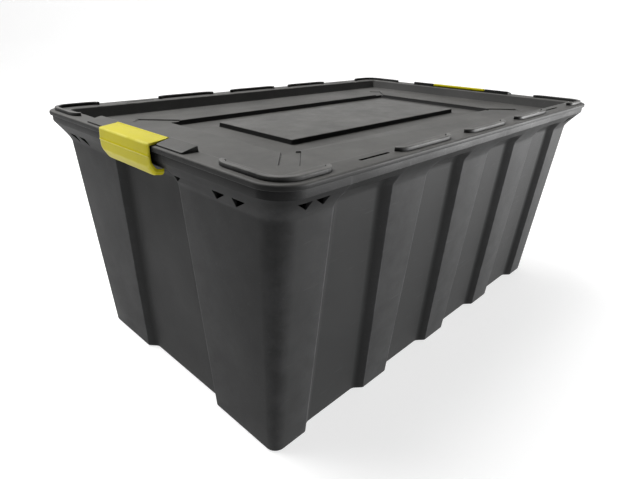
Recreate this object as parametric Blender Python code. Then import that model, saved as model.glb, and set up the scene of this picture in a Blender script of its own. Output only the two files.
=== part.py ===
"""Stackable storage bin: a tapered tub with fluted walls, a lift-off lid with a stacking tray, and a
snap latch hinged at each end of the lid.

Metres, +Z up. The origin is at the centre of the base, X runs along the bin and Z = 0 is the ground.
"""

import math

import bmesh
import bpy
from mathutils import Matrix, Vector

MM = 0.001

# Driving dimensions, in millimetres
LID_LENGTH = 780.0
LID_WIDTH = 526.0
LID_CORNER = 35.0
EDGE_HEIGHT = 356.0  # ground to the top of the lid's flange
BASE_LENGTH = 715.0
BASE_WIDTH = 424.0
WALL_TOP_LENGTH = 748.0  # where the walls would meet the level of EDGE_HEIGHT
WALL_TOP_WIDTH = 486.0
WALL = 2.6
FLOOR = 3.2
GAP = 0.3

# Flutes of the tub
FLUTE_DEPTH = 10.4
FLUTE_TOP = 321.0  # the recesses run out into the flare
FLUTE_END = 7.0
FLUTE_SLANT = (12.0, 14.0)  # at the base, at the top
RIB_CENTRES = (-163.0, 0.0, 163.0)
RIB_HALF_WIDTH = (25.5, 36.0)
POST_EDGE = (306.0, 296.0)
END_FLUTE_HALF_WIDTH = (94.0, 75.0)
WALL_CORNER = (15.0, 29.0)
BASE_ROUND = 4.0

# Rim of the tub
FLARE_BOTTOM = 313.0
FLARE_TOP = 341.0
RIM_TOP = 352.9
RIM_INSET = 3.0  # from the lid's edge to the tub's rim
RIM_CORNER = LID_CORNER - RIM_INSET
FLARE_BEND = 1.35
FLARE_STEPS = 5

# Windows in the flare: distances from the lid's edge to the side next the corner and to the other side,
# then the heights of the bottom and the top
SIDE_WINDOWS = ((34.0, 52.0, 318.0, 329.0), (56.0, 75.0, 318.0, 329.0))
END_WINDOWS = ((62.0, 83.0, 318.0, 329.0), (93.0, 116.0, 318.0, 329.0))
WINDOW_REACH = 45.0

# Lid
SKIRT_BOTTOM = EDGE_HEIGHT - 6.0
LID_PLATE = 2.8
FLANGE = (27.0, 32.0)  # flange width at the ends, at the sides
TRAY_DRAFT = 8.0
TRAY_FLOOR = 333.0
LEDGE = 340.0
FIELD = (262.0, 129.0)  # half size of the low middle of the tray
CHANNEL_START = (248.0, 125.0)
CHANNEL_LENGTH = 66.0
CHANNEL_WIDTH = 24.0
CHANNEL_DEPTH = 1.6
PANEL = (410.0, 162.0)
PANEL_TOP = 340.0
RIDGE_TOP = 360.2
RIDGE_INSET = (7.0, 14.0)
CORNER_RIDGE_REACH = (74.0, 96.0)
SIDE_RIDGE_CENTRES = (-152.0, -2.0, 148.0)
SIDE_RIDGE_LENGTH = 104.0
SLOT_CENTRES = (-243.5, 243.5)
SLOT_LENGTH = 49.0
SLOT_INSET = (16.0, 20.0)

# Latches and their pivots
LATCH_WIDTH = 120.0
LATCH_PLATE = 2.6
PIVOT_INSET = 21.0
PIVOT_HEIGHT = 359.4
BARREL_RADIUS = 2.9
PIN_RADIUS = 1.7
PIN_REACH = 7.0
BORE_RADIUS = 2.0
BORE_DEPTH = 8.0
BLOCK_TOP = 362.6
BLOCK_LENGTH = 56.0
BLOCK_INSET = (4.0, 25.5)

ARC_STEPS = 6


def clear_scene():
    for thing in list(bpy.data.objects):
        bpy.data.objects.remove(thing)


def collection(name):
    made = bpy.data.collections.new(name)
    bpy.context.scene.collection.children.link(made)
    return made


def plastic(name, color, roughness):
    material = bpy.data.materials.new(name)
    material.use_nodes = True
    shader = material.node_tree.nodes["Principled BSDF"]
    shader.inputs["Base Color"].default_value = (*color, 1.0)
    shader.inputs["Roughness"].default_value = roughness
    shader.inputs["Metallic"].default_value = 0.0
    return material


def put(name, bm, where, material=None):
    """Makes a named object from a bmesh whose units are millimetres."""
    bmesh.ops.scale(bm, vec=(MM, MM, MM), verts=bm.verts)
    mesh = bpy.data.meshes.new(name)
    bm.to_mesh(mesh)
    bm.free()
    made = bpy.data.objects.new(name, mesh)
    where.objects.link(made)
    if material is not None:
        mesh.materials.append(material)
    else:
        made.hide_render = True
        made.display_type = "WIRE"
    return made


def between(pair, share):
    return pair[0] + (pair[1] - pair[0]) * share


def loft(rings):
    """Joins rings with the same number of points into a closed skin, with a face over each end."""
    bm = bmesh.new()
    rows = []
    for ring in rings:
        rows.append([bm.verts.new(point) for point in ring])
    for lower, upper in zip(rows, rows[1:]):
        for i in range(len(lower)):
            j = (i + 1) % len(lower)
            bm.faces.new((lower[i], lower[j], upper[j], upper[i]))
    bm.faces.new(list(reversed(rows[0])))
    bm.faces.new(rows[-1])
    return bm


def corner_arc(centre_x, centre_y, radius, start):
    points = []
    for step in range(ARC_STEPS + 1):
        angle = start + math.pi / 2 * step / ARC_STEPS
        points.append((centre_x + radius * math.cos(angle), centre_y + radius * math.sin(angle)))
    return points


def rounded_rectangle(half_x, half_y, radius, height):
    """A level ring, anticlockwise from the right-hand end of the near side."""
    cx = half_x - radius
    cy = half_y - radius
    outline = corner_arc(cx, -cy, radius, -math.pi / 2)
    outline += corner_arc(cx, cy, radius, 0.0)
    outline += corner_arc(-cx, cy, radius, math.pi / 2)
    outline += corner_arc(-cx, -cy, radius, math.pi)
    return [(x, y, height) for x, y in outline]


def solid_boxes(name, spans, where):
    """One object of several boxes, each given by its lowest and highest corners."""
    bm = bmesh.new()
    for low, high in spans:
        size = [h - l for l, h in zip(low, high)]
        middle = [(h + l) / 2 for l, h in zip(low, high)]
        place = Matrix.Translation(middle) @ Matrix.Diagonal((*size, 1.0))
        bmesh.ops.create_cube(bm, size=1.0, matrix=place)
    return put(name, bm, where)


def combine(target, cutter, operation):
    change = target.modifiers.new(cutter.name, "BOOLEAN")
    change.operation = operation
    change.object = cutter
    change.solver = "EXACT"


# Tub ------------------------------------------------------------------------------------------


def flute_notches(edges, slant):
    """Distance along a side and share of the flute's depth, for each bend of its recesses."""
    bends = []
    for start, end in edges:
        bends += [(start, 0.0), (start + slant, 1.0), (end - slant, 1.0), (end, 0.0)]
    return bends


def side_recesses(share, grow):
    rib = between(RIB_HALF_WIDTH, share) - grow
    post = between(POST_EDGE, share) + grow
    stops = [-post]
    for centre in RIB_CENTRES:
        stops += [centre - rib, centre + rib]
    stops.append(post)
    return list(zip(stops[0::2], stops[1::2]))


def tub_section(height, inset, flute, grow=0.0, flare=0.0, radius=None):
    """The tub's outline at a height: a rounded rectangle with recesses in its sides and ends."""
    share = height / EDGE_HEIGHT
    half_x = between((BASE_LENGTH, WALL_TOP_LENGTH), share) / 2
    half_y = between((BASE_WIDTH, WALL_TOP_WIDTH), share) / 2
    half_x = between((half_x, LID_LENGTH / 2 - RIM_INSET), flare) - inset
    half_y = between((half_y, LID_WIDTH / 2 - RIM_INSET), flare) - inset
    if radius is None:
        radius = between(WALL_CORNER, share) - inset
    slant = between(FLUTE_SLANT, share)
    side = flute_notches(side_recesses(share, grow), slant)
    end_half = between(END_FLUTE_HALF_WIDTH, share) + grow
    end = flute_notches([(-end_half, end_half)], slant)
    cx = half_x - radius
    cy = half_y - radius
    outline = [(x, flute * depth - half_y) for x, depth in side]
    outline += corner_arc(cx, -cy, radius, -math.pi / 2)
    outline += [(half_x - flute * depth, y) for y, depth in end]
    outline += corner_arc(cx, cy, radius, 0.0)
    outline += [(-x, half_y - flute * depth) for x, depth in side]
    outline += corner_arc(-cx, cy, radius, math.pi / 2)
    outline += [(flute * depth - half_x, -y) for y, depth in end]
    outline += corner_arc(-cx, -cy, radius, math.pi)
    return [(x, y, height) for x, y in outline]


def wall_levels():
    """Heights of the upper wall, where the recesses run out and the wall flares to the rim."""
    levels = [FLARE_BOTTOM, FLUTE_TOP - FLUTE_END, FLUTE_TOP]
    for step in range(1, FLARE_STEPS + 1):
        levels.append(between((FLARE_BOTTOM, FLARE_TOP), step / FLARE_STEPS))
    return sorted(levels)


def flute_at(height):
    return FLUTE_DEPTH * min(1.0, (FLUTE_TOP - height) / FLUTE_END) if height < FLUTE_TOP else 0.0


def flare_at(height):
    share = (height - FLARE_BOTTOM) / (FLARE_TOP - FLARE_BOTTOM)
    return share**FLARE_BEND


def tub_rings():
    slope_wall = WALL * 1.3
    bend_shift = WALL * math.tan(math.radians(20.0))
    outer = [
        tub_section(0.0, BASE_ROUND, FLUTE_DEPTH),
        tub_section(BASE_ROUND * 0.3, BASE_ROUND * 0.3, FLUTE_DEPTH),
        tub_section(BASE_ROUND, 0.0, FLUTE_DEPTH),
    ]
    inner = [
        tub_section(FLOOR, WALL + BASE_ROUND, FLUTE_DEPTH, bend_shift),
        tub_section(FLOOR + BASE_ROUND, WALL, FLUTE_DEPTH, bend_shift),
    ]
    for height in wall_levels():
        flute = flute_at(height)
        flare = flare_at(height)
        radius = between((WALL_CORNER[1], RIM_CORNER), flare)
        inset = between((WALL, slope_wall), min(1.0, flare * 4.0))
        outer.append(tub_section(height, 0.0, flute, 0.0, flare, radius))
        inner.append(tub_section(height + bend_shift, inset, flute, bend_shift, flare, radius - inset))
    rounding = WALL / 4
    outer.append(tub_section(RIM_TOP - rounding, 0.0, 0.0, 0.0, 1.0, RIM_CORNER))
    outer.append(tub_section(RIM_TOP, rounding, 0.0, 0.0, 1.0, RIM_CORNER - rounding))
    inner.append(tub_section(FLARE_TOP + WALL, WALL, 0.0, 0.0, 1.0, RIM_CORNER - WALL))
    inner.append(tub_section(RIM_TOP, WALL, 0.0, 0.0, 1.0, RIM_CORNER - WALL))
    return outer + inner[::-1]


def window_cutters(where):
    """A triangular prism for each window: its upright side is away from the corner."""
    bm = bmesh.new()
    for runs_along_x, windows in ((True, SIDE_WINDOWS), (False, END_WINDOWS)):
        half_run = (LID_LENGTH if runs_along_x else LID_WIDTH) / 2
        half_across = (LID_WIDTH if runs_along_x else LID_LENGTH) / 2
        for near, far, bottom, top in windows:
            for along in (-1, 1):
                for across in (-1, 1):
                    flat = []
                    for distance, height in ((near, top), (far, top), (far, bottom)):
                        flat.append((along * (half_run - distance), height))
                    rows = []
                    for reach in (0.0, WINDOW_REACH):
                        depth = across * (half_across - reach)
                        row = [(a, depth, h) if runs_along_x else (depth, a, h) for a, h in flat]
                        rows.append([bm.verts.new(point) for point in row])
                    bm.faces.new(rows[0])
                    bm.faces.new(rows[1][::-1])
                    for i in range(3):
                        j = (i + 1) % 3
                        bm.faces.new((rows[0][j], rows[0][i], rows[1][i], rows[1][j]))
    bmesh.ops.recalc_face_normals(bm, faces=bm.faces)
    return put("window_cutters", bm, where)


def make_tub(parts, cutters, material):
    tub = put("tub", loft(tub_rings()), parts, material)
    combine(tub, window_cutters(cutters), "DIFFERENCE")
    return tub


# Lid ------------------------------------------------------------------------------------------


def lid_ring(inset_end, inset_side, height):
    radius = max(LID_CORNER - min(inset_end, inset_side), 6.0)
    return rounded_rectangle(LID_LENGTH / 2 - inset_end, LID_WIDTH / 2 - inset_side, radius, height)


def lid_rings():
    """From the middle of the underside out to the edge, and back over the top to the tray."""
    end, side = FLANGE
    step_end = LID_LENGTH / 2 - FIELD[0]
    step_side = LID_WIDTH / 2 - FIELD[1]
    under_flange = EDGE_HEIGHT - LID_PLATE
    return [
        lid_ring(step_end + 0.5, step_side + 0.5, TRAY_FLOOR - LID_PLATE),
        lid_ring(step_end - 2.0, step_side - 2.0, LEDGE - LID_PLATE),
        lid_ring(end + TRAY_DRAFT - 4.2, side + TRAY_DRAFT - 4.2, LEDGE - LID_PLATE + 0.4),
        lid_ring(end - 2.0, side - 2.0, under_flange),
        lid_ring(LID_PLATE, LID_PLATE, under_flange),
        lid_ring(LID_PLATE - 0.2, LID_PLATE - 0.2, SKIRT_BOTTOM),
        lid_ring(0.0, 0.0, SKIRT_BOTTOM),
        lid_ring(0.0, 0.0, EDGE_HEIGHT - 2.4),
        lid_ring(0.8, 0.8, EDGE_HEIGHT - 0.7),
        lid_ring(2.6, 2.6, EDGE_HEIGHT),
        lid_ring(end, side, EDGE_HEIGHT),
        lid_ring(end + 0.8, side + 0.8, EDGE_HEIGHT - 0.9),
        lid_ring(end + TRAY_DRAFT - 1.6, side + TRAY_DRAFT - 1.6, LEDGE + 1.4),
        lid_ring(end + TRAY_DRAFT, side + TRAY_DRAFT, LEDGE),
        lid_ring(step_end, step_side, LEDGE),
        lid_ring(step_end + 2.2, step_side + 2.2, TRAY_FLOOR),
    ]


def ridge_band(where):
    """A closed band that follows the lid's edge, from which the stacking ridges are taken."""
    low = EDGE_HEIGHT - 1.0
    draft = 0.6
    outer, inner = RIDGE_INSET
    bm = bmesh.new()
    rows = []
    for inset, height in ((inner, low), (inner - draft, RIDGE_TOP), (outer + draft, RIDGE_TOP), (outer, low)):
        rows.append([bm.verts.new(point) for point in lid_ring(inset, inset, height)])
    for k in range(len(rows)):
        lower = rows[k]
        upper = rows[(k + 1) % len(rows)]
        for i in range(len(lower)):
            j = (i + 1) % len(lower)
            bm.faces.new((lower[i], lower[j], upper[j], upper[i]))
    bmesh.ops.recalc_face_normals(bm, faces=bm.faces)
    return put("ridge_band", bm, where)


def ridge_places(where):
    """Boxes round the stretches of the band that stay as ridges."""
    half_x = LID_LENGTH / 2
    half_y = LID_WIDTH / 2
    low, high = EDGE_HEIGHT - 5.0, RIDGE_TOP + 5.0
    spans = []
    for sx in (-1, 1):
        for sy in (-1, 1):
            xs = sorted((sx * (half_x + 5.0), sx * (half_x - CORNER_RIDGE_REACH[0])))
            ys = sorted((sy * (half_y + 5.0), sy * (half_y - CORNER_RIDGE_REACH[1])))
            spans.append(((xs[0], ys[0], low), (xs[1], ys[1], high)))
    for centre in SIDE_RIDGE_CENTRES:
        for sy in (-1, 1):
            ys = sorted((sy * (half_y + 5.0), sy * (half_y - 30.0)))
            reach = SIDE_RIDGE_LENGTH / 2
            spans.append(((centre - reach, ys[0], low), (centre + reach, ys[1], high)))
    return solid_boxes("ridge_places", spans, where)


def flange_slots(where):
    half_y = LID_WIDTH / 2
    spans = []
    for centre in SLOT_CENTRES:
        for sy in (-1, 1):
            ys = sorted(sy * (half_y - inset) for inset in SLOT_INSET)
            reach = SLOT_LENGTH / 2
            spans.append(
                ((centre - reach, ys[0], EDGE_HEIGHT - 5.0), (centre + reach, ys[1], EDGE_HEIGHT + 2.0))
            )
    return solid_boxes("flange_slots", spans, where)


def pivot_blocks(where):
    """Raised pads on each side of a latch. They hold its pins."""
    spans = []
    near = LATCH_WIDTH / 2 + 0.6
    for sx in (-1, 1):
        xs = sorted(sx * (LID_LENGTH / 2 - inset) for inset in BLOCK_INSET)
        for sy in (-1, 1):
            ys = sorted((sy * near, sy * (near + BLOCK_LENGTH)))
            spans.append(((xs[0], ys[0], EDGE_HEIGHT - 1.0), (xs[1], ys[1], BLOCK_TOP)))
    return solid_boxes("pivot_blocks", spans, where)


def rod(bm, radius, start, end, centre_x, centre_z, segments=20):
    """A cylinder along Y."""
    turn = Matrix.Rotation(math.pi / 2, 4, "X")
    place = Matrix.Translation((centre_x, (start + end) / 2, centre_z)) @ turn
    bmesh.ops.create_cone(
        bm,
        cap_ends=True,
        segments=segments,
        radius1=radius,
        radius2=radius,
        depth=abs(end - start),
        matrix=place,
    )


def pivot_bores(where):
    bm = bmesh.new()
    near = LATCH_WIDTH / 2
    for sx in (-1, 1):
        for sy in (-1, 1):
            x = sx * (LID_LENGTH / 2 - PIVOT_INSET)
            rod(bm, BORE_RADIUS, sy * near, sy * (near + BORE_DEPTH + 0.6), x, PIVOT_HEIGHT)
    return put("pivot_bores", bm, where)


def corner_channels(where):
    """A shallow slanting groove from each corner of the tray's low middle towards the tray's corner."""
    bm = bmesh.new()
    low = LEDGE - CHANNEL_DEPTH
    high = LEDGE + CHANNEL_DEPTH
    for sx in (-1, 1):
        for sy in (-1, 1):
            place = Matrix.Translation((sx * CHANNEL_START[0], sy * CHANNEL_START[1], (low + high) / 2))
            place = place @ Matrix.Rotation(math.atan2(sy, sx), 4, "Z")
            place = place @ Matrix.Translation((CHANNEL_LENGTH / 2, 0.0, 0.0))
            place = place @ Matrix.Diagonal((CHANNEL_LENGTH, CHANNEL_WIDTH, high - low, 1.0))
            bmesh.ops.create_cube(bm, size=1.0, matrix=place)
    return put("corner_channels", bm, where)


def make_lid(parts, cutters, material):
    lid = put("lid", loft(lid_rings()), parts, material)
    band = ridge_band(cutters)
    combine(band, ridge_places(cutters), "INTERSECT")
    combine(lid, band, "UNION")
    half_x, half_y = PANEL[0] / 2, PANEL[1] / 2
    panel = ((-half_x, -half_y, TRAY_FLOOR - 1.0), (half_x, half_y, PANEL_TOP))
    combine(lid, solid_boxes("tray_panel", [panel], cutters), "UNION")
    hollow_x, hollow_y = half_x - LID_PLATE, half_y - LID_PLATE
    hollow = ((-hollow_x, -hollow_y, TRAY_FLOOR - 10.0), (hollow_x, hollow_y, PANEL_TOP - LID_PLATE))
    combine(lid, solid_boxes("panel_hollow", [hollow], cutters), "DIFFERENCE")
    combine(lid, corner_channels(cutters), "DIFFERENCE")
    combine(lid, pivot_blocks(cutters), "UNION")
    combine(lid, flange_slots(cutters), "DIFFERENCE")
    combine(lid, pivot_bores(cutters), "DIFFERENCE")
    return lid


# Latches --------------------------------------------------------------------------------------


def latch_outline():
    """The latch's section: distance out from the lid's edge, and height."""
    face = 1.2 + LATCH_PLATE
    roof = EDGE_HEIGHT + 1.0 + LATCH_PLATE
    return [
        (-PIVOT_INSET, roof),
        (face - 1.8, roof),
        (face, roof - 1.8),
        (face, 346.5),
        (face + 0.9, 345.2),
        (face, 343.6),
        (face, 331.0),
        (-2.2, 323.0),
        (-13.3, 320.3),
        (-13.3, 322.6),
        (-3.4, 325.6),
        (1.2, 332.2),
        (1.2, roof - LATCH_PLATE - 0.8),
        (0.4, roof - LATCH_PLATE),
        (-PIVOT_INSET, roof - LATCH_PLATE),
    ]


def outline_solid(name, points, half_width, where):
    """A flat outline in the XZ plane, given thickness along Y and turned into a mesh."""
    curve = bpy.data.curves.new(name, "CURVE")
    curve.dimensions = "2D"
    curve.fill_mode = "BOTH"
    curve.extrude = half_width * MM
    spline = curve.splines.new("POLY")
    spline.points.add(len(points) - 1)
    for spot, (across, height) in zip(spline.points, points):
        spot.co = (across * MM, height * MM, 0.0, 1.0)
    spline.use_cyclic_u = True
    drawn = bpy.data.objects.new(name + "_outline", curve)
    where.objects.link(drawn)
    bpy.context.view_layer.update()
    evaluated = drawn.evaluated_get(bpy.context.evaluated_depsgraph_get())
    mesh = bpy.data.meshes.new_from_object(evaluated)
    bpy.data.objects.remove(drawn)
    bm = bmesh.new()
    bm.from_mesh(mesh)
    bpy.data.meshes.remove(mesh)
    bmesh.ops.remove_doubles(bm, verts=bm.verts, dist=0.00001)
    bmesh.ops.rotate(bm, verts=bm.verts, cent=(0, 0, 0), matrix=Matrix.Rotation(math.pi / 2, 3, "X"))
    bmesh.ops.scale(bm, vec=(1 / MM, 1 / MM, 1 / MM), verts=bm.verts)
    bmesh.ops.recalc_face_normals(bm, faces=bm.faces)
    return bm


def make_latch(name, side, parts, cutters, material):
    """side is -1 for the latch at -X and 1 for the one at +X."""
    edge = LID_LENGTH / 2
    points = [(side * (edge + out), height) for out, height in latch_outline()]
    half = LATCH_WIDTH / 2
    latch = put(name, outline_solid(name, points, half, cutters), parts, material)
    pivot_x = side * (edge - PIVOT_INSET)
    barrel = bmesh.new()
    rod(barrel, BARREL_RADIUS, -half, half, pivot_x, PIVOT_HEIGHT)
    combine(latch, put(name + "_barrel", barrel, cutters), "UNION")
    pins = bmesh.new()
    rod(pins, PIN_RADIUS, -half - PIN_REACH, half + PIN_REACH, pivot_x, PIVOT_HEIGHT)
    combine(latch, put(name + "_pins", pins, cutters), "UNION")
    pivot = Vector((pivot_x * MM, 0.0, PIVOT_HEIGHT * MM))
    latch.data.transform(Matrix.Translation(-pivot))
    latch.location = pivot
    return latch


def main():
    clear_scene()
    parts = collection("storage_bin")
    cutters = collection("cutters")
    black = plastic("black_polypropylene", (0.045, 0.047, 0.05), 0.55)
    lid_black = plastic("lid_polypropylene", (0.05, 0.052, 0.053), 0.5)
    yellow = plastic("yellow_polypropylene", (0.85, 0.72, 0.02), 0.35)
    make_tub(parts, cutters, black)
    make_lid(parts, cutters, lid_black)
    make_latch("latch_left", -1, parts, cutters, yellow)
    make_latch("latch_right", 1, parts, cutters, yellow)


main()
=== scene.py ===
import math

import bmesh
import bpy
from mathutils import Matrix, Vector
from mathutils.kdtree import KDTree


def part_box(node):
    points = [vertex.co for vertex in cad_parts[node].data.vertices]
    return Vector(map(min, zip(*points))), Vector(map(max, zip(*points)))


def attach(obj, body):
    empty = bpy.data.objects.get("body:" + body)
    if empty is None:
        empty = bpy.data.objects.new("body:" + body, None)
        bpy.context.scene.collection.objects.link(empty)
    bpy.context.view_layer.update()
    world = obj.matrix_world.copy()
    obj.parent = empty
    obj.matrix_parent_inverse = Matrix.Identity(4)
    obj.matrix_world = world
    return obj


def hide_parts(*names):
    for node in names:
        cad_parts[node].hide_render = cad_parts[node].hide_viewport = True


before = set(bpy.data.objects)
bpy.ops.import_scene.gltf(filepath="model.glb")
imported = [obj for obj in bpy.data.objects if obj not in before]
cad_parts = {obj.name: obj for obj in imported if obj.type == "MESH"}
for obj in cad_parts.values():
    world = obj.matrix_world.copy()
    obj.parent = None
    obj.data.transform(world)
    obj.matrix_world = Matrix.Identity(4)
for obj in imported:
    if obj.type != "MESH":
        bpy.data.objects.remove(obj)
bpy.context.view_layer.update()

# Camera ---------------------------------------------------------------------------------------
# A wide lens held close to one corner of the bin, a little above the lid and looking down at it.
# The camera leans about one degree to the side.

lid_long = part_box("lid")[1][0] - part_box("lid")[0][0]
eye = Vector((-0.807, -0.685, 0.610)) * lid_long
azimuth = math.radians(46.747)
pitch = math.radians(24.083)
roll = math.radians(1.373)
forward = Vector((math.sin(azimuth) * math.cos(pitch), math.cos(azimuth) * math.cos(pitch), -math.sin(pitch)))
level = Vector((math.cos(azimuth), -math.sin(azimuth), 0.0))
upright = level.cross(forward)
side_axis = level * math.cos(roll) + upright * math.sin(roll)
top_axis = upright * math.cos(roll) - level * math.sin(roll)
lens = bpy.data.cameras.new("corner_view")
lens.sensor_width = 36.0
lens.lens = 26.85
lens.clip_start = 0.01
camera = bpy.data.objects.new("corner_view", lens)
bpy.context.scene.collection.objects.link(camera)
camera.matrix_world = Matrix.Translation(eye) @ Matrix((side_axis, top_axis, -forward)).transposed().to_4x4()
bpy.context.scene.camera = camera

# Tub ------------------------------------------------------------------------------------------
# The tub is one injection moulding in black polypropylene: a tapered wall folded into flutes between
# corner posts and ribs, flaring out to the rim that the lid sits on. Slides in the mould leave small
# wedge-shaped windows in the flare beside each corner.

MILLIMETRE = 0.001
tub_high = Vector(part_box("tub")[1]) / MILLIMETRE
lid_high = Vector(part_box("lid")[1]) / MILLIMETRE
EDGE_HEIGHT = 356.0
BASE = (357.5, 212.0)
WALL_AT_EDGE = (374.0, 243.0)
RIM = (tub_high.x, tub_high.y)
RIM_TOP = tub_high.z
WALL = 2.6
WALL_ON_SLANTS = 0.95  # widens the inner skin's corners, so that the slanted stretches keep their thickness
FLOOR_TOP = 3.2
FOOT_ROUND = 4.0
FOOT_LIFT = 1.3  # the middle of the base stands this far off the ground, inside a ring that the bin rests on
# At the base and at the lid's edge: the posts' rounding, how far a flute's side leans along the wall, half
# the width of a rib, where the posts start, and half the width of the flute at each end of the bin
POST_ROUND = (15.0, 29.0)
SLANT = (12.0, 14.0)
RIB_HALF = (25.5, 36.0)
POST_START = (306.0, 296.0)
END_FLUTE_HALF = (94.0, 75.0)
RIM_POST_ROUND = 32.0
RIB_CENTRES = (-163.0, 0.0, 163.0)
FLUTE_DEPTH = 10.4
FLUTE_FULL = 322.0
FLUTE_TOP = 332.0
FLARE_BOTTOM = 313.0
FLARE_TOP = 341.0
CRISP = 1.3
SOFT = 5.0
# Pale marks on the posts' corners and on the flats beside them: partly wear, partly painted highlight.
POST_WEAR_AND_HIGHLIGHT = 0.35
FLAT_WEAR_AND_HIGHLIGHT = 0.22
SHARP = 34.0  # degrees between faces, past which an edge is shaded sharp
STILL_THERE = 0.06 * MILLIMETRE  # a vertex this near its drawn place hasn't been moved by a cut


def share_between(low, high, share):
    return low + (high - low) * share


def rounded_outline(corners, flat_wear_and_highlight=0.0):
    """Points round a closed outline. A corner is (x, y, reach of its rounding, steps, its share of wear and
    painted highlight).

    flat_wear_and_highlight is the share of a corner's wear and painted highlight that carries on over the
    flats beside it."""
    points = []
    wear_and_highlight = []
    for k, (x, y, reach, steps, wear_and_highlight_share) in enumerate(corners):
        here = Vector((x, y))
        back = (Vector(corners[k - 1][:2]) - here).normalized()
        ahead = (Vector(corners[(k + 1) % len(corners)][:2]) - here).normalized()
        start = here + back * reach
        end = here + ahead * reach
        pull = 2.0 * math.sin(back.angle(ahead) / 2)
        for step in range(steps + 1):
            t = step / steps
            weights = ((1 - t) ** 2, pull * t * (1 - t), t * t)
            points.append((start * weights[0] + here * weights[1] + end * weights[2]) / sum(weights))
            wear_and_highlight.append(wear_and_highlight_share * share_between(flat_wear_and_highlight, 1.0, math.sin(math.pi * t)))
    return points, wear_and_highlight


def tub_outline(height, inset, flute, flare, grow):
    """Corners for rounded_outline along half of the tub's section. The other half is this one turned."""
    share = height / EDGE_HEIGHT
    half_x = share_between(share_between(BASE[0], WALL_AT_EDGE[0], share), RIM[0], flare) - inset
    half_y = share_between(share_between(BASE[1], WALL_AT_EDGE[1], share), RIM[1], flare) - inset
    post = share_between(share_between(*POST_ROUND, share), RIM_POST_ROUND, flare) - inset
    slant = share_between(*SLANT, share)
    rib = share_between(*RIB_HALF, share) - grow
    stops = [-share_between(*POST_START, share) - grow]
    for centre in RIB_CENTRES:
        stops += [centre - rib, centre + rib]
    stops.append(-stops[0])
    end_half = share_between(*END_FLUTE_HALF, share) + grow
    crisp = CRISP + grow
    wear_and_highlight_share = 1.0 if grow == 0.0 else 0.0
    half = []
    for start, end in zip(stops[0::2], stops[1::2]):
        half.append((start, -half_y, crisp, 3, wear_and_highlight_share))
        half.append((start + slant, flute - half_y, SOFT, 4, 0.0))
        half.append((end - slant, flute - half_y, SOFT, 4, 0.0))
        half.append((end, -half_y, crisp, 3, wear_and_highlight_share))
    half.append((half_x, -half_y, post, 12, POST_WEAR_AND_HIGHLIGHT * wear_and_highlight_share))
    half.append((half_x, -end_half, crisp, 3, wear_and_highlight_share))
    half.append((half_x - flute, slant - end_half, SOFT, 4, 0.0))
    half.append((half_x - flute, end_half - slant, SOFT, 4, 0.0))
    half.append((half_x, end_half, crisp, 3, wear_and_highlight_share))
    half.append((half_x, half_y, post, 12, POST_WEAR_AND_HIGHLIGHT * wear_and_highlight_share))
    return half


def tub_ring(height, inset=0.0, flute=FLUTE_DEPTH, flare=0.0, grow=0.0, wear_and_highlight_share=0.0):
    """The tub's level section and each point's share of wear and painted highlight."""
    near = tub_outline(height, inset, flute, flare, grow)
    corners = near[:-1]
    corners += [(-x, -y, reach, steps, wear_and_highlight) for x, y, reach, steps, wear_and_highlight in near[:-1]]
    corners.insert(len(near) - 1, near[-1])
    corners.append((-near[-1][0], -near[-1][1]) + near[-1][2:])
    points, wear_and_highlight = rounded_outline(corners, FLAT_WEAR_AND_HIGHLIGHT)
    return [(p.x, p.y, height) for p in points], [max(w, wear_and_highlight_share) for w in wear_and_highlight]


def skin(rings, wear_and_highlight_rows):
    """Joins rings of as many points into one closed skin. Returns the mesh and each vertex's share of wear
    and painted highlight.
    """
    shell = bmesh.new()
    rows = [[shell.verts.new(point) for point in ring] for ring in rings]
    wear_and_highlight = [value for row in wear_and_highlight_rows for value in row]
    for lower, upper in zip(rows, rows[1:]):
        for i in range(len(lower)):
            j = (i + 1) % len(lower)
            shell.faces.new((lower[i], lower[j], upper[j], upper[i]))
    shell.faces.new(rows[0][::-1])
    shell.faces.new(rows[-1])
    bmesh.ops.recalc_face_normals(shell, faces=shell.faces)
    return shell, wear_and_highlight


def to_object(name, shell):
    """An object at the origin from a mesh drawn in millimetres."""
    bmesh.ops.scale(shell, vec=(MILLIMETRE,) * 3, verts=shell.verts)
    mesh = bpy.data.meshes.new(name)
    shell.to_mesh(mesh)
    shell.free()
    made = bpy.data.objects.new(name, mesh)
    bpy.context.scene.collection.objects.link(made)
    return made


def cut(target, cutter):
    """Cuts cutter out of target for good, and removes cutter."""
    change = target.modifiers.new("cut", "BOOLEAN")
    change.operation = "DIFFERENCE"
    change.object = cutter
    change.solver = "EXACT"
    bpy.context.view_layer.update()
    result = bpy.data.meshes.new_from_object(target.evaluated_get(bpy.context.evaluated_depsgraph_get()))
    target.modifiers.remove(change)
    target.data = result
    bpy.data.objects.remove(cutter)


def store_wear_and_highlight(piece, places, wear_and_highlight, sharp=SHARP):
    """Writes each vertex's share of wear and painted highlight where it still lies on the drawn shape, and
    sets the shading.
    """
    tree = KDTree(len(places))
    for i, place in enumerate(places):
        tree.insert(Vector(place) * MILLIMETRE, i)
    tree.balance()
    mesh = piece.data
    field = mesh.attributes.new("wear_and_highlight", "FLOAT", "POINT")
    for vertex in mesh.vertices:
        _, nearest, away = tree.find(vertex.co)
        field.data[vertex.index].value = wear_and_highlight[nearest] if away < STILL_THERE else 0.0
    mesh.shade_smooth()
    mesh.set_sharp_from_angle(angle=math.radians(sharp))


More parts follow.
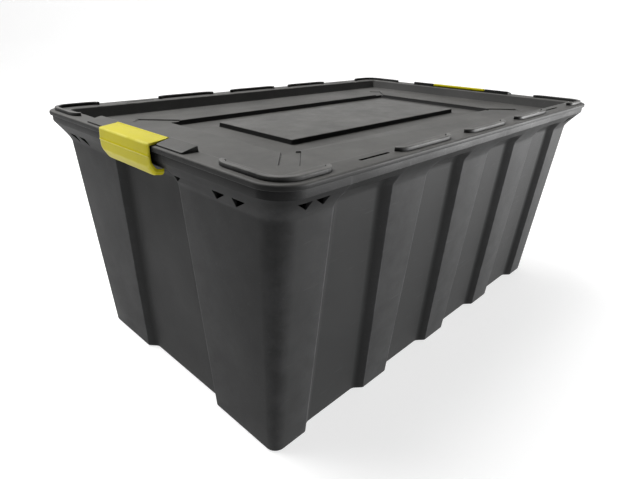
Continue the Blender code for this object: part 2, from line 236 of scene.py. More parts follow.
outside, inside = [], []
for step in range(6):
    turn = math.pi / 2 * step / 5
    inset = FOOT_ROUND * (1.0 - math.sin(turn))
    wear_and_highlight_share = 0.8 if 0 < step < 5 else 0.0
    outside.append(tub_ring(FOOT_ROUND * (1.0 - math.cos(turn)), inset, wear_and_highlight_share=wear_and_highlight_share))
for step in range(1, 9):
    outside.append(tub_ring(share_between(FOOT_ROUND, FLARE_BOTTOM - 4.0, step / 8)))
inside.append(tub_ring(FLOOR_TOP, WALL + FOOT_ROUND, grow=WALL_ON_SLANTS))
inside.append(tub_ring(FLOOR_TOP + 1.4, WALL + FOOT_ROUND * 0.3, grow=WALL_ON_SLANTS))
inside.append(tub_ring(FLOOR_TOP + 4.0, WALL, grow=WALL_ON_SLANTS))
inside.append(tub_ring(FLARE_BOTTOM - 4.0, WALL, grow=WALL_ON_SLANTS))
for step in range(19):
    height = share_between(FLARE_BOTTOM - 1.0, FLARE_TOP, step / 18)
    fade = min(max((height - FLUTE_FULL) / (FLUTE_TOP - FLUTE_FULL), 0.0), 1.0)
    depth = FLUTE_DEPTH * (1.0 - fade * fade * (3.0 - 2.0 * fade))
    spread = max(0.0, (height - FLARE_BOTTOM) / (FLARE_TOP - FLARE_BOTTOM)) ** 1.35
    outside.append(tub_ring(height, 0.0, depth, spread))
    thickness = share_between(WALL, WALL * 1.3, min(1.0, spread * 4))
    inside.append(tub_ring(height + 0.95, thickness, depth, spread, WALL_ON_SLANTS))
outside.append(tub_ring(RIM_TOP - 1.2, 0.0, 0.0, 1.0))
outside.append(tub_ring(RIM_TOP - 0.35, 0.3, 0.0, 1.0, wear_and_highlight_share=1.0))
outside.append(tub_ring(RIM_TOP, 1.1, 0.0, 1.0))
inside.append(tub_ring(FLARE_TOP + 3.0, WALL, 0.0, 1.0, WALL_ON_SLANTS))
inside.append(tub_ring(RIM_TOP, WALL - 0.4, 0.0, 1.0, WALL_ON_SLANTS))
underside = [
    tub_ring(FOOT_LIFT, FOOT_ROUND + 11.0),
    tub_ring(FOOT_LIFT, FOOT_ROUND + 9.6),
    tub_ring(0.0, FOOT_ROUND + 8.6),
]
tub_rows = underside + outside + inside[::-1]
shell, tub_wear_and_highlight = skin([row[0] for row in tub_rows], [row[1] for row in tub_rows])
tub_places = [tuple(v.co) for v in shell.verts]
tub_shell = to_object("tub_shell", shell)

# Windows: distances from the lid's edge to the side next to the corner and to the other side, then the
# heights of the bottom and the top
windows = bmesh.new()
side_windows = ((31.0, 49.0, 322.5, 333.5), (53.0, 72.0, 322.5, 333.5))
end_windows = ((60.0, 81.0, 316.5, 327.0), (91.0, 113.0, 316.5, 327.0), (171.0, 184.0, 318.5, 325.5))
for along_x, spans in ((True, side_windows), (False, end_windows)):
    run = lid_high.x if along_x else lid_high.y
    across = lid_high.y if along_x else lid_high.x
    for near, far, bottom, top in spans:
        for sx in (-1, 1):
            for sy in (-1, 1):
                rows = []
                for depth in (across + 2.0, across - 45.0):
                    flat = [
                        (near, top),
                        (far - 0.8, top),
                        (far, top - 0.8),
                        (far, bottom + 0.7),
                        (far - 0.9, bottom),
                    ]
                    row = []
                    for distance, height in flat:
                        spot = (run - distance, depth) if along_x else (depth, run - distance)
                        row.append(windows.verts.new((sx * spot[0], sy * spot[1], height)))
                    rows.append(row)
                windows.faces.new(rows[0])
                windows.faces.new(rows[1][::-1])
                for i in range(5):
                    j = (i + 1) % 5
                    windows.faces.new((rows[0][j], rows[0][i], rows[1][i], rows[1][j]))
bmesh.ops.recalc_face_normals(windows, faces=windows.faces)
cut(tub_shell, to_object("windows", windows))
store_wear_and_highlight(tub_shell, tub_places, tub_wear_and_highlight)


def new_group(name, sockets):
    """A node group for materials. sockets lists its inputs and outputs as (name, way, kind, value)."""
    group = bpy.data.node_groups.new(name, "ShaderNodeTree")
    for label, way, kind, value in sockets:
        socket = group.interface.new_socket(name=label, in_out=way, socket_type=kind)
        if value is not None:
            socket.default_value = value
    return group, group.nodes.new("NodeGroupInput"), group.nodes.new("NodeGroupOutput")


def node(tree, kind, links=(), **settings):
    """A new node. links holds (input, value or the output that feeds it)."""
    made = tree.nodes.new(kind)
    for name, value in settings.items():
        setattr(made, name, value)
    for socket, value in links:
        if isinstance(value, bpy.types.NodeSocket):
            tree.links.new(value, made.inputs[socket])
        else:
            made.inputs[socket].default_value = value
    return made


def noise(tree, spot, scale, detail=2.0, roughness=0.5):
    return node(tree, "ShaderNodeTexNoise", (
        (0, spot), ("Scale", scale), ("Detail", detail), ("Roughness", roughness),
    )).outputs["Fac"]


def ranged(tree, value, start, end, low=0.0, high=1.0):
    """Takes value from the range start to end to the range low to high, and stops there."""
    return node(tree, "ShaderNodeMapRange", (
        ("Value", value), ("From Min", start), ("From Max", end), ("To Min", low), ("To Max", high),
    )).outputs["Result"]


def worked_out(tree, operation, *values, clamp=False):
    made = node(tree, "ShaderNodeMath", tuple(enumerate(values)), operation=operation, use_clamp=clamp)
    return made.outputs[0]


def laid_over(tree, share, below, above, blend="MIX"):
    """The colour below with the colour above laid over it by share."""
    links = ((0, share), (6, below), (7, above))
    return node(tree, "ShaderNodeMix", links, data_type="RGBA", blend_type=blend).outputs[2]


# Spark-eroded mould skin: fine pebbles that make the plastic matt, with faint clouds in the gloss.
skin_group, taken, given = new_group("moulded_grain", (
    ("Pebble Scale", "INPUT", "NodeSocketFloat", 900.0),
    ("Depth", "INPUT", "NodeSocketFloat", 1.0),
    ("Height", "OUTPUT", "NodeSocketFloat", None),
    ("Clouds", "OUTPUT", "NodeSocketFloat", None),
))
spot = node(skin_group, "ShaderNodeTexCoord").outputs["Object"]
pebbles = node(skin_group, "ShaderNodeTexVoronoi", (
    (0, spot), ("Scale", taken.outputs["Pebble Scale"]),
), feature="SMOOTH_F1").outputs["Distance"]
fine = noise(skin_group, spot, 1500.0, 3.0)
mixed = worked_out(skin_group, "ADD", pebbles, fine)
scaled = worked_out(skin_group, "MULTIPLY", mixed, taken.outputs["Depth"])
clouds = noise(skin_group, spot, 9.0, 5.0, 0.6)
skin_group.links.new(scaled, given.inputs["Height"])
skin_group.links.new(clouds, given.inputs["Clouds"])

# Handling and light: corners painted pale and smooth, partly as wear and partly as painted highlight on edges
# that catch the light, broken up so that no edge is pale all along.
wear_and_highlight_group, taken, given = new_group("edge_wear_and_highlights", (
    ("Amount", "INPUT", "NodeSocketFloat", 0.6),
    ("Patch Scale", "INPUT", "NodeSocketFloat", 40.0),
    ("Mask", "OUTPUT", "NodeSocketFloat", None),
))
spot = node(wear_and_highlight_group, "ShaderNodeTexCoord").outputs["Object"]
edge = node(wear_and_highlight_group, "ShaderNodeAttribute", attribute_name="wear_and_highlight").outputs["Fac"]
patch = noise(wear_and_highlight_group, spot, taken.outputs["Patch Scale"], 6.0, 0.65)
broken = ranged(wear_and_highlight_group, patch, 0.36, 0.62, 0.25)
both = worked_out(wear_and_highlight_group, "MULTIPLY", edge, broken)
dosed = worked_out(wear_and_highlight_group, "MULTIPLY", both, taken.outputs["Amount"], clamp=True)
wear_and_highlight_group.links.new(dosed, given.inputs["Mask"])

# Storage and light: a pale film on faces that look up, partly dust and partly painted light from above that
# makes tops paler than sides, and thin scuffs from sliding on shelves.
dust_and_top_light_group, taken, given = new_group("dust_top_light_and_scuffs", (
    ("Dust And Top Light", "INPUT", "NodeSocketFloat", 0.3),
    ("Scuffs", "INPUT", "NodeSocketFloat", 0.3),
    ("Dust Film And Top Light", "OUTPUT", "NodeSocketFloat", None),
    ("Scratches", "OUTPUT", "NodeSocketFloat", None),
))
spot = node(dust_and_top_light_group, "ShaderNodeTexCoord").outputs["Object"]
flat_normal = node(dust_and_top_light_group, "ShaderNodeNewGeometry").outputs["True Normal"]
facing = node(dust_and_top_light_group, "ShaderNodeSeparateXYZ", ((0, flat_normal),)).outputs["Z"]
upward = ranged(dust_and_top_light_group, facing, 0.3, 0.95)
speckle = noise(dust_and_top_light_group, spot, 14.0, 8.0, 0.7)
speckle_share = ranged(dust_and_top_light_group, speckle, 0.3, 0.75, 0.5)
dust_and_top_light_mask = worked_out(dust_and_top_light_group, "MULTIPLY", upward, speckle_share)
dosed_dust_and_top_light = worked_out(dust_and_top_light_group, "MULTIPLY", dust_and_top_light_mask, taken.outputs["Dust And Top Light"])
stretched = node(dust_and_top_light_group, "ShaderNodeMapping", (
    (0, spot), ("Rotation", (0.2, 0.35, 0.9)), ("Scale", (6.0, 90.0, 60.0)),
)).outputs[0]
streaks = noise(dust_and_top_light_group, stretched, 4.0)
lines = ranged(dust_and_top_light_group, streaks, 0.66, 0.74)
scratched = worked_out(dust_and_top_light_group, "MULTIPLY", lines, taken.outputs["Scuffs"])
dust_and_top_light_group.links.new(dosed_dust_and_top_light, given.inputs["Dust Film And Top Light"])
dust_and_top_light_group.links.new(scratched, given.inputs["Scratches"])


# The pale film colour for upward faces: dust, and painted light from above.
DUST_AND_TOP_LIGHT_COLOR = (0.36, 0.35, 0.33)


def moulded_plastic(name, color, pale, roughness, pebble, depth, edge_wear_and_highlight, dust_and_top_light, scuffs, specular):
    """A moulded polypropylene: its colour, its paler colour for wear and painted highlights, and how strong
    each effect is.
    """
    material = bpy.data.materials.new(name)
    material.use_nodes = True
    tree = material.node_tree
    shader = tree.nodes["Principled BSDF"]
    shader.inputs["Specular IOR Level"].default_value = specular
    shader.inputs["IOR"].default_value = 1.49
    grain = node(tree, "ShaderNodeGroup", (), node_tree=skin_group)
    grain.inputs["Pebble Scale"].default_value = pebble
    grain.inputs["Depth"].default_value = depth
    wear_and_highlight_node = node(tree, "ShaderNodeGroup", (), node_tree=wear_and_highlight_group)
    wear_and_highlight_node.inputs["Amount"].default_value = edge_wear_and_highlight
    storage_and_top_light_node = node(tree, "ShaderNodeGroup", (), node_tree=dust_and_top_light_group)
    storage_and_top_light_node.inputs["Dust And Top Light"].default_value = dust_and_top_light
    storage_and_top_light_node.inputs["Scuffs"].default_value = scuffs
    clouds = grain.outputs["Clouds"]
    tone = ranged(tree, clouds, 0.25, 0.75, 0.86, 1.14)
    cloudy = laid_over(tree, 1.0, (*color, 1.0), tone, "MULTIPLY")
    # Pale edges laid over the colour: partly wear, partly painted highlight.
    wear_and_highlight = laid_over(tree, wear_and_highlight_node.outputs["Mask"], cloudy, (*pale, 1.0))
    marked = laid_over(tree, storage_and_top_light_node.outputs["Scratches"], wear_and_highlight, (*pale, 1.0))
    # Pale film on upward faces: partly dust, partly painted light from above.
    dusted_and_top_lit = laid_over(tree, storage_and_top_light_node.outputs["Dust Film And Top Light"], marked, (*DUST_AND_TOP_LIGHT_COLOR, 1.0))
    tree.links.new(dusted_and_top_lit, shader.inputs["Base Color"])
    gloss = ranged(tree, clouds, 0.3, 0.7, *roughness)
    polished = worked_out(tree, "MULTIPLY_ADD", wear_and_highlight_node.outputs["Mask"], -0.12, gloss)
    matt = worked_out(tree, "MULTIPLY_ADD", storage_and_top_light_node.outputs["Dust Film And Top Light"], 0.4, polished, clamp=True)
    tree.links.new(matt, shader.inputs["Roughness"])
    relief = node(tree, "ShaderNodeBump", (
        ("Strength", 0.35), ("Distance", 0.00012), ("Height", grain.outputs["Height"]),
    ))
    tree.links.new(relief.outputs["Normal"], shader.inputs["Normal"])
    return material


tub_black = moulded_plastic(
    "tub_black_polypropylene", (0.0176, 0.0178, 0.0179), (0.095, 0.095, 0.098), (0.46, 0.6),
    pebble=850.0, depth=1.0, edge_wear_and_highlight=0.5, dust_and_top_light=0.10, scuffs=0.10, specular=0.08,
)
# Painted shade under the lid's edge: from the flare upwards the tub's colour darkens to half, so the flare
# and the rim band read darker than the walls.
tree = tub_black.node_tree
shader = tree.nodes["Principled BSDF"]
faded = shader.inputs["Base Color"].links[0].from_socket
spot = node(tree, "ShaderNodeTexCoord").outputs["Object"]
up_the_wall = node(tree, "ShaderNodeSeparateXYZ", ((0, spot),)).outputs["Z"]
painted_rim_shade = ranged(tree, up_the_wall, 0.316, 0.334, 1.0, 0.5)
tree.links.new(laid_over(tree, 1.0, faded, painted_rim_shade, "MULTIPLY"), shader.inputs["Base Color"])
tub_shell.data.materials.append(tub_black)
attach(tub_shell, "tub")
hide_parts("tub")

# Lid ------------------------------------------------------------------------------------------
# The lid is a thin moulded tray in the same black plastic. Its flange hooks over the tub's rim with a
# rolled edge; inside it drops to a ledge, a lower middle and a raised panel that lets a bin stack on top.

FLANGE = (27.0, 32.0)
TRAY_DRAFT = 8.0
LEDGE = 340.0
FIELD_FLOOR = 333.0
LID_CORNER = 35.0
SKIRT = 6.0
FIELD = (262.0, 129.0)
PANEL = (205.0, 81.0)
PANEL_TOP = 340.0
PLATE = 2.8
QUARTERS = ((-1, -1), (1, -1), (1, 1), (-1, 1))
half_lid = (lid_high.x, lid_high.y)


def lid_ring(inset_x, inset_y, height, wear_and_highlight_share=0.0):
    radius = max(LID_CORNER - min(inset_x, inset_y), 3.0)
    half_x = half_lid[0] - inset_x
    half_y = half_lid[1] - inset_y
    corners = [(x * half_x, y * half_y, radius, 14, 0.0) for x, y in QUARTERS]
    points, _ = rounded_outline(corners)
    return [(p.x, p.y, height) for p in points], [wear_and_highlight_share] * len(points)


def bend(inset, height, radius, start, sweep, steps=5, wear_and_highlight_share=0.0):
    """Rings round a rounded edge. inset and height are the arc's centre; angles start from straight up."""
    for step in range(steps + 1):
        angle = math.radians(start + sweep * step / steps)
        out = radius * math.sin(angle)
        middle = 0 < step < steps
        rise = radius * math.cos(angle)
        yield lid_ring(inset[0] - out, inset[1] - out, height + rise, wear_and_highlight_share if middle else 0.0)


wall_foot = (FLANGE[0] + TRAY_DRAFT, FLANGE[1] + TRAY_DRAFT)
field = (half_lid[0] - FIELD[0], half_lid[1] - FIELD[1])
panel = (half_lid[0] - PANEL[0], half_lid[1] - PANEL[1])
lid_rows = [
    lid_ring(panel[0] + PLATE, panel[1] + PLATE, PANEL_TOP - PLATE),
    lid_ring(panel[0] + PLATE, panel[1] + PLATE, FIELD_FLOOR - PLATE),
    lid_ring(field[0] + 1.4, field[1] + 1.4, FIELD_FLOOR - PLATE),
    lid_ring(field[0] - 2.2, field[1] - 2.2, LEDGE - PLATE),
    lid_ring(wall_foot[0] - 3.0, wall_foot[1] - 3.0, LEDGE - PLATE),
    lid_ring(FLANGE[0] - 2.2, FLANGE[1] - 2.2, EDGE_HEIGHT - PLATE),
    lid_ring(PLATE + 0.3, PLATE + 0.3, EDGE_HEIGHT - PLATE),
    lid_ring(PLATE - 0.3, PLATE - 0.3, EDGE_HEIGHT - SKIRT + 0.6),
    lid_ring(PLATE - 0.9, PLATE - 0.9, EDGE_HEIGHT - SKIRT),
]
lid_rows += bend((0.8, 0.8), EDGE_HEIGHT - SKIRT + 0.8, 0.8, 180.0, -90.0, 3, 0.2)
lid_rows += bend((2.5, 2.5), EDGE_HEIGHT - 2.5, 2.5, 90.0, -90.0, 7, 0.25)
lid_rows += bend((FLANGE[0] - 2.6, FLANGE[1] - 2.6), EDGE_HEIGHT - 3.2, 3.2, 0.0, -66.0, 6, 0.8)
lid_rows += bend((wall_foot[0] + 1.6, wall_foot[1] + 1.6), LEDGE + 1.6, 1.6, 114.0, 66.0, 4)
lid_rows += bend((field[0] - 1.0, field[1] - 1.0), LEDGE - 1.0, 1.0, 0.0, -70.0, 4, 0.7)
lid_rows += bend((field[0] + 2.6, field[1] + 2.6), FIELD_FLOOR + 0.8, 0.8, 110.0, 70.0, 3)
lid_rows += bend((panel[0] - 1.3, panel[1] - 1.3), FIELD_FLOOR + 0.7, 0.7, 180.0, 85.0, 3)
lid_rows += bend((panel[0] + 1.1, panel[1] + 1.1), PANEL_TOP - 1.1, 1.1, 85.0, -85.0, 4, 0.8)
lid_rows.append(lid_ring(panel[0] + 2.0, panel[1] + 2.0, PANEL_TOP, 0.35))
shell, lid_wear_and_highlight = skin([row[0] for row in lid_rows], [row[1] for row in lid_rows])
lid_places = [tuple(v.co) for v in shell.verts]
lid_tray = to_object("lid_tray", shell)

CHANNEL_START = (248.0, 125.0)
CHANNEL_FLOOR = LEDGE - 1.7
channels = bmesh.new()
for sx in (-1, 1):
    for sy in (-1, 1):
        rows = []
        for height, half_wide, end in ((CHANNEL_FLOOR, 11.0, 62.0), (LEDGE + 1.0, 12.6, 66.0)):
            row = []
            for along, across in ((0.0, -half_wide), (end, -half_wide), (end, half_wide), (0.0, half_wide)):
                spot = Matrix.Rotation(math.atan2(sy, sx), 2) @ Vector((along, across))
                place = (spot.x + sx * CHANNEL_START[0], spot.y + sy * CHANNEL_START[1], height)
                row.append(channels.verts.new(place))
            rows.append(row)
        channels.faces.new(rows[0][::-1])
        channels.faces.new(rows[1])
        for i in range(4):
            j = (i + 1) % 4
            channels.faces.new((rows[0][i], rows[0][j], rows[1][j], rows[1][i]))
cut(lid_tray, to_object("channels", channels))

SLOT_HALF = (24.5, 2.0)
SLOT_AT = (243.5, half_lid[1] - 18.0)
slots = bmesh.new()
for sx in (-1, 1):
    for sy in (-1, 1):
        outline = [(x * SLOT_HALF[0], y * SLOT_HALF[1], 1.9, 5, 0.0) for x, y in QUARTERS]
        points, _ = rounded_outline(outline)
        rows = []
        for height in (EDGE_HEIGHT - 8.0, EDGE_HEIGHT + 1.0):
            places = [(p.x + sx * SLOT_AT[0], p.y + sy * SLOT_AT[1], height) for p in points]
            rows.append([slots.verts.new(place) for place in places])
        slots.faces.new(rows[0][::-1])
        slots.faces.new(rows[1])
        for i in range(len(points)):
            j = (i + 1) % len(points)
            slots.faces.new((rows[0][i], rows[0][j], rows[1][j], rows[1][i]))
cut(lid_tray, to_object("slots", slots))
store_wear_and_highlight(lid_tray, lid_places, lid_wear_and_highlight)

lid_black = moulded_plastic(
    "lid_black_polypropylene", (0.011, 0.011, 0.0109), (0.11, 0.11, 0.107), (0.45, 0.58),
    pebble=850.0, depth=1.0, edge_wear_and_highlight=0.6, dust_and_top_light=0.2, scuffs=0.10, specular=0.1,
)
lid_tray.data.materials.append(lid_black)
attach(lid_tray, "lid")
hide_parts("lid")

# Stacking ridges ------------------------------------------------------------------------------
# Low rails moulded on the lid's flange keep the bin above from sliding. One bends round each corner and
# three run along each long side; their ends curl in towards the tray.

RIDGE_TOP = 360.2
RIDGE_ROOT = 1.2  # how far the rails reach into the flange
RIDGE_WIDTH = 6.0
RIDGE_INSET = 10.5
SIDE_CENTRES = (-152.0, -2.0, 148.0)
SIDE_REACH = (-56.0, 50.0)
CORNER_REACH = (76.0, 98.0)
CURL = (15.0, 7.5)


def ridge_tree(material):
    """Turns drawn lines into rails of the asked width and height."""
    tree = bpy.data.node_groups.new("moulded_rails", "GeometryNodeTree")
    tree.interface.new_socket(name="Lines", in_out="INPUT", socket_type="NodeSocketGeometry")
    for label in ("Width", "Height", "Rounding"):
        tree.interface.new_socket(name=label, in_out="INPUT", socket_type="NodeSocketFloat")
    tree.interface.new_socket(name="Rails", in_out="OUTPUT", socket_type="NodeSocketGeometry")
    asked = node(tree, "NodeGroupInput")
    profile = node(tree, "GeometryNodeCurvePrimitiveQuadrilateral", (
        ("Width", asked.outputs["Height"]), ("Height", asked.outputs["Width"]),
    ))
    eased = node(tree, "GeometryNodeFilletCurve", (
        (0, profile.outputs[0]), ("Count", 3), ("Radius", asked.outputs["Rounding"]),
    ), mode="POLY")
    path = node(tree, "GeometryNodeMeshToCurve", ((0, asked.outputs["Lines"]),))
    rail = node(tree, "GeometryNodeCurveToMesh", (
        ("Curve", path.outputs[0]), ("Profile Curve", eased.outputs[0]), ("Fill Caps", True),
    ))
    real = node(tree, "GeometryNodeRealizeInstances", ((0, rail.outputs[0]),))
    finished = node(tree, "GeometryNodeSetMaterial", ((0, real.outputs[0]), ("Material", material)))
    out = node(tree, "NodeGroupOutput")
    tree.links.new(finished.outputs[0], out.inputs[0])
    return tree


def baked(drawn, tree, sizes):
    """Runs a Geometry Nodes tree on drawn with the sizes given by name, and keeps the plain mesh."""
    change = drawn.modifiers.new("nodes", "NODES")
    change.node_group = tree
    for item in tree.interface.items_tree:
        if item.in_out == "INPUT" and item.name in sizes:
            change[item.identifier] = sizes[item.name]
    bpy.context.view_layer.update()
    result = bpy.data.meshes.new_from_object(drawn.evaluated_get(bpy.context.evaluated_depsgraph_get()))
    drawn.modifiers.remove(change)
    drawn.data = result


lines = bmesh.new()
middle_height = (RIDGE_TOP + EDGE_HEIGHT - RIDGE_ROOT) / 2


def draw_line(points):
    chain = [lines.verts.new((*point, middle_height)) for point in points]
    for a, b in zip(chain, chain[1:]):
        lines.edges.new((a, b))


def curled(start, away, inwards):
    """Points from a rail's tip to where it runs straight: away is along the rail, inwards is to the tray."""
    points = []
    for step in range(6):
        turn = math.pi / 2 * step / 5
        back = away * CURL[0] * (1.0 - math.cos(turn))
        points.append(start + back + inwards * CURL[1] * (1.0 - math.sin(turn)))
    return points


rail_y = half_lid[1] - RIDGE_INSET
rail_x = half_lid[0] - RIDGE_INSET
for sy in (-1, 1):
    inwards = Vector((0.0, -sy))
    for centre in SIDE_CENTRES:
        first = curled(Vector((centre + SIDE_REACH[0], sy * rail_y)), Vector((1.0, 0.0)), inwards)
        last = curled(Vector((centre + SIDE_REACH[1], sy * rail_y)), Vector((-1.0, 0.0)), inwards)
        draw_line(first + last[::-1])
    for sx in (-1, 1):
        end_x = Vector((sx * (half_lid[0] - CORNER_REACH[0]), sy * rail_y))
        end_y = Vector((sx * rail_x, sy * (half_lid[1] - CORNER_REACH[1])))
        tip_x = curled(end_x, Vector((sx, 0.0)), inwards)
        tip_y = curled(end_y, Vector((0.0, sy)), Vector((-sx, 0.0)))
        radius = LID_CORNER - RIDGE_INSET
        centre = Vector((sx * (rail_x - radius), sy * (rail_y - radius)))
        arc = []
        for step in range(13):
            turn = math.pi / 2 * step / 12
            arc.append(centre + Vector((sx * radius * math.sin(turn), sy * radius * math.cos(turn))))
        draw_line(tip_x + arc + tip_y[::-1])
ridges = to_object("stacking_ridges", lines)
baked(ridges, ridge_tree(lid_black), {
    "Width": RIDGE_WIDTH * MILLIMETRE,
    "Height": (RIDGE_TOP - EDGE_HEIGHT + RIDGE_ROOT) * MILLIMETRE,
    "Rounding": 0.9 * MILLIMETRE,
})
ridge_edges = bmesh.new()
ridge_edges.from_mesh(ridges.data)
bmesh.ops.remove_doubles(ridge_edges, verts=ridge_edges.verts, dist=0.000001)
bmesh.ops.recalc_face_normals(ridge_edges, faces=ridge_edges.faces)
ridge_edges.to_mesh(ridges.data)
ridge_edges.free()
# Pale rail tops: partly wear, partly painted highlight.
ridge_top_wear_and_highlight = ridges.data.attributes.new("wear_and_highlight", "FLOAT", "POINT")
for vertex in ridges.data.vertices:
    ridge_top_wear_and_highlight.data[vertex.index].value = 0.75 if vertex.co.z > (RIDGE_TOP - 0.7) * MILLIMETRE else 0.0
ridges.data.shade_smooth()
ridges.data.set_sharp_from_angle(angle=math.radians(50.0))
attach(ridges, "lid")

# Hinge pads -----------------------------------------------------------------------------------
# Raised blocks moulded on the lid at both sides of each latch. The latch's pins snap into holes in
# their ends, and their tops slope down to the lid's edge.

PAD_TOP = lid_high.z
PAD_START = 60.6
PAD_END = 114.0
PAD_INSET = (4.0, 25.5)
PAD_OUTER_TOP = 357.6
PIVOT_INSET = 21.0
PIVOT_HEIGHT = 359.4
BORE_RADIUS = 2.0
pads = bmesh.new()
pad_places, pad_wear_and_highlight = [], []
for sx in (-1, 1):
    for sy in (-1, 1):
        x_mid = sx * (half_lid[0] - sum(PAD_INSET) / 2)
        y_mid = sy * (PAD_START + PAD_END) / 2
        half_x = (PAD_INSET[1] - PAD_INSET[0]) / 2
        half_y = (PAD_END - PAD_START) / 2
        rows = []
        for height, draw_in, wear_and_highlight_share in (
            (EDGE_HEIGHT - 1.0, 0.0, 0.0),
            (EDGE_HEIGHT, 0.0, 0.0),
            (EDGE_HEIGHT + 0.5, 0.45, 0.0),
            (PAD_TOP - 1.3, 0.8, 0.0),
            (PAD_TOP - 0.5, 1.05, 0.9),
            (PAD_TOP - 0.1, 1.6, 0.9),
            (PAD_TOP, 2.4, 0.0),
        ):
            outline = [(x * (half_x - draw_in), y * (half_y - draw_in), 2.6, 5, 0.0) for x, y in QUARTERS]
            points, _ = rounded_outline(outline)
            row = []
            for p in points:
                outward = (p.x * sx + half_x) / (2 * half_x)
                rise = max(0.0, (height - EDGE_HEIGHT) / (PAD_TOP - EDGE_HEIGHT))
                drop = (PAD_TOP - PAD_OUTER_TOP) * outward ** 1.4 * rise
                place = (x_mid + p.x, y_mid + p.y, height - drop)
                row.append(pads.verts.new(place))
                pad_places.append(place)
                pad_wear_and_highlight.append(wear_and_highlight_share)
            rows.append(row)
        for lower, upper in zip(rows, rows[1:]):
            for i in range(len(lower)):
                j = (i + 1) % len(lower)
                pads.faces.new((lower[i], lower[j], upper[j], upper[i]))
        pads.faces.new(rows[0][::-1])
        pads.faces.new(rows[-1])
bmesh.ops.recalc_face_normals(pads, faces=pads.faces)
hinge_pads = to_object("hinge_pads", pads)
bores = bmesh.new()
for sx in (-1, 1):
    for sy in (-1, 1):
        middle = Vector((sx * (half_lid[0] - PIVOT_INSET), sy * (PAD_START + 3.4), PIVOT_HEIGHT))
        place = Matrix.Translation(middle) @ Matrix.Rotation(math.pi / 2, 4, "X")
        radii = {"radius1": BORE_RADIUS, "radius2": BORE_RADIUS}
        bmesh.ops.create_cone(bores, cap_ends=True, segments=32, depth=10.0, matrix=place, **radii)
cut(hinge_pads, to_object("bores", bores))
store_wear_and_highlight(hinge_pads, pad_places, pad_wear_and_highlight)
hinge_pads.data.materials.append(lid_black)
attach(hinge_pads, "lid")

# Latches --------------------------------------------------------------------------------------
# Each latch is a clip in glossy yellow polypropylene: a top plate that turns on two pins, a front plate
# with a moulded crease for the fingers, and a lip that snaps under the tub's rim.

LATCH_HALF = 60.0
CLIP = 2.6
CLEARANCE = 1.2  # between the lid's edge and the front plate
CREASE = 345.2
FOOT = 332.0
LIP = 320.4
PIN = 1.7
BARREL = 2.9
ROUND = 28
face_out = CLEARANCE + CLIP
roof = EDGE_HEIGHT + 1.0 + CLIP
latch_yellow = moulded_plastic(
    "latch_yellow_polypropylene", (0.40, 0.35, 0.002), (0.66, 0.63, 0.18), (0.26, 0.36),
    pebble=500.0, depth=0.35, edge_wear_and_highlight=0.7, dust_and_top_light=0.01, scuffs=0.02, specular=0.05,
)


def latch_section(side_in, bottom_up):
    """The clip's section as (out from the lid's edge, height, rounding, steps, share of wear and painted
    highlight).

    It runs from the pins over the top plate, down the front to the lip, and back up the inside."""
    tail = 1.0 - PIVOT_INSET
    foot = FOOT + bottom_up
    lip = LIP + bottom_up
    return [
        (tail, roof + 2.2, 0.5, 2, 0.3),
        (face_out - side_in * 0.3, roof - 0.6, 2.4, 6, 1.0),
        (face_out, CREASE + 1.4, 0.7, 3, 0.0),
        (face_out + 1.0, CREASE, 0.5, 3, 0.9),
        (face_out, CREASE - 1.4, 0.7, 3, 0.0),
        (face_out, foot, 2.2, 4, 0.4),
        (-2.2, foot - 10.0, 1.8, 4, 0.5),
        (-12.4, lip, 0.9, 3, 0.9),
        (-13.2, lip + 3.8, 0.9, 3, 0.6),
        (-4.0, lip + 4.6, 1.4, 3, 0.0),
        (CLEARANCE, foot + 1.2, 1.4, 3, 0.0),
        (CLEARANCE, roof - CLIP - 0.6, 0.9, 3, 0.0),
        (tail, roof - CLIP + 1.4, 0.5, 2, 0.0),
    ]


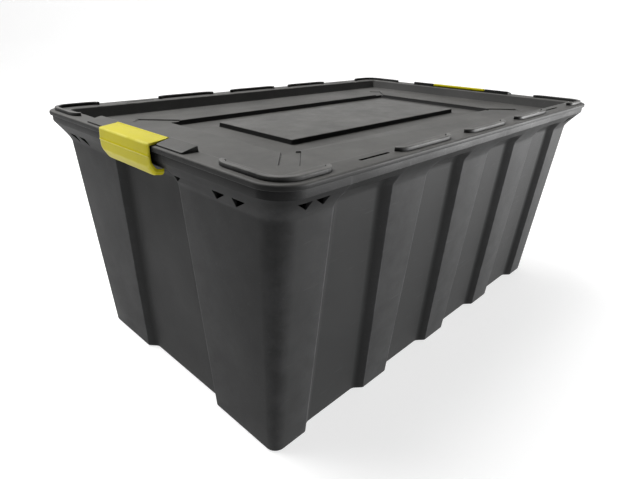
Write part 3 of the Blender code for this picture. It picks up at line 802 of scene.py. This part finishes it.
for name, side in (("latch_left", -1), ("latch_right", 1)):
    rings, wear_and_highlight_rows = [], []
    # Along the latch: how far the face draws in, the foot rises and the whole section shrinks
    stations = [
        (-LATCH_HALF, 3.4, 5.6, 0.55),
        (-LATCH_HALF + 0.35, 2.6, 4.4, 0.2),
        (-LATCH_HALF + 1.3, 1.7, 3.2, 0.0),
        (-LATCH_HALF + 3.5, 0.7, 1.4, 0.0),
        (-LATCH_HALF + 7.0, 0.0, 0.2, 0.0),
        (-LATCH_HALF + 10.0, 0.0, 0.0, 0.0),
    ]
    stations += [(0.0, 0.0, 0.0, 0.0)] + [(-y, a, b, c) for y, a, b, c in stations[::-1]]
    for along, side_in, bottom_up, shrink in stations:
        corners = latch_section(side_in, bottom_up)
        points, wear_and_highlight = rounded_outline(corners)
        ring = []
        for k, p in enumerate(points):
            before = points[k - 1]
            after = points[(k + 1) % len(points)]
            run = (after - before).normalized()
            inward = Vector((run.y, -run.x))
            q = p + inward * shrink
            ring.append((side * (half_lid[0] + q.x), along, q.y))
        rings.append(ring)
        # Pale rims round the rounded ends of the clip: painted highlight, partly wear.
        wear_and_highlight_rows.append([max(w, 0.8 if 0.0 < shrink < 0.5 else 0.0) for w in wear_and_highlight])
    shell, clip_wear_and_highlight = skin(rings, wear_and_highlight_rows)
    places = [tuple(v.co) for v in shell.verts]
    pivot_x = side * (half_lid[0] - PIVOT_INSET)
    turned = []
    pin_end = LATCH_HALF + 7.0
    half_rod = [
        (pin_end, PIN - 0.5),
        (pin_end - 0.5, PIN),
        (LATCH_HALF - 0.2, PIN),
        (LATCH_HALF - 0.3, BARREL - 0.4),
        (LATCH_HALF - 0.7, BARREL),
    ]
    for along, radius in [(-y, r) for y, r in half_rod] + half_rod[::-1]:
        ring = []
        for step in range(ROUND):
            angle = 2 * math.pi * step / ROUND
            ring.append((pivot_x + radius * math.cos(angle), along, PIVOT_HEIGHT + radius * math.sin(angle)))
        turned.append(ring)
    rod_shape, _ = skin(turned, [[0.0] * ROUND] * len(turned))
    rod_mesh = bpy.data.meshes.new("rod")
    rod_shape.to_mesh(rod_mesh)
    rod_shape.free()
    shell.from_mesh(rod_mesh)
    bpy.data.meshes.remove(rod_mesh)
    clip = to_object(name + "_clip", shell)
    store_wear_and_highlight(clip, places, clip_wear_and_highlight, 40.0)
    clip.data.materials.append(latch_yellow)
    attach(clip, name)
    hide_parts(name)

# Floor and light ------------------------------------------------------------------------------
# A seamless pale paper sweep under and behind the bin, a broad soft light above and behind, low strip
# lights to the right and the left that keep off the lid's flat faces, and an even white room.

PAPER_START = -6.0
PAPER_BEND = 3.0
BEND_RADIUS = 2.0
PAPER_TOP = 7.0
PAPER_HALF = 9.0
ahead = Vector((forward.x, forward.y, 0.0)).normalized()
sweep = bmesh.new()
profile = [(PAPER_START, 0.0), (PAPER_BEND, 0.0)]
for step in range(1, 13):
    turn = math.pi / 2 * step / 12
    profile.append((PAPER_BEND + BEND_RADIUS * math.sin(turn), BEND_RADIUS - BEND_RADIUS * math.cos(turn)))
profile.append((PAPER_BEND + BEND_RADIUS, PAPER_TOP))
rows = []
for along, height in profile:
    row = []
    for across in (-PAPER_HALF, PAPER_HALF):
        ground = level * across + ahead * along
        row.append(sweep.verts.new((ground.x, ground.y, height)))
    rows.append(row)
for lower, upper in zip(rows, rows[1:]):
    sweep.faces.new((lower[0], lower[1], upper[1], upper[0]))
paper_mesh = bpy.data.meshes.new("paper_sweep")
sweep.to_mesh(paper_mesh)
sweep.free()
paper_mesh.shade_smooth()
paper_sweep = bpy.data.objects.new("paper_sweep", paper_mesh)
bpy.context.scene.collection.objects.link(paper_sweep)
paper = bpy.data.materials.new("pale_paper")
paper.use_nodes = True
paper_shader = paper.node_tree.nodes["Principled BSDF"]
paper_shader.inputs["Roughness"].default_value = 0.9
paper_shader.inputs["Specular IOR Level"].default_value = 0.1
fibres = noise(paper.node_tree, node(paper.node_tree, "ShaderNodeTexCoord").outputs["Object"], 3.0, 6.0)
shade = ranged(paper.node_tree, fibres, 0.0, 1.0, 0.46, 0.5)
paper_shader.inputs["Emission Color"].default_value = (1.0, 1.0, 1.0, 1.0)
paper_shader.inputs["Emission Strength"].default_value = 0.72
paper.node_tree.links.new(shade, paper_shader.inputs["Base Color"])
paper_mesh.materials.append(paper)

room = bpy.data.worlds.new("white_room")
bpy.context.scene.world = room
room.use_nodes = True
backdrop = room.node_tree.nodes["Background"]
backdrop.inputs["Color"].default_value = (1.0, 1.0, 1.0, 1.0)
seen = node(room.node_tree, "ShaderNodeLightPath").outputs["Is Camera Ray"]
strength = ranged(room.node_tree, seen, 0.0, 1.0, 0.08, 1.0)
room.node_tree.links.new(strength, backdrop.inputs["Strength"])


def softbox(name, place, target, size, watts):
    """A rectangular light at place that faces target."""
    lamp = bpy.data.lights.new(name, "AREA")
    lamp.shape = "RECTANGLE"
    lamp.size, lamp.size_y = size
    lamp.energy = watts
    holder = bpy.data.objects.new(name, lamp)
    holder.visible_camera = False
    bpy.context.scene.collection.objects.link(holder)
    turned = (Vector(place) - Vector(target)).to_track_quat("Z", "Y")
    holder.matrix_world = Matrix.Translation(place) @ turned.to_matrix().to_4x4()


softbox("top_softbox", (-0.5, 1.2, 2.5), (-0.1, 0.1, 0.3), (2.4, 2.4), 134.0)
softbox("right_strip", (5.0, -4.8, 0.19), (0.0, 0.0, 0.19), (3.0, 0.3), 960.0)
softbox("left_strip", (-2.3, 2.4, 0.16), (-0.2, 0.1, 0.16), (1.2, 0.28), 3.8)
bpy.context.scene.view_settings.view_transform = "Standard"
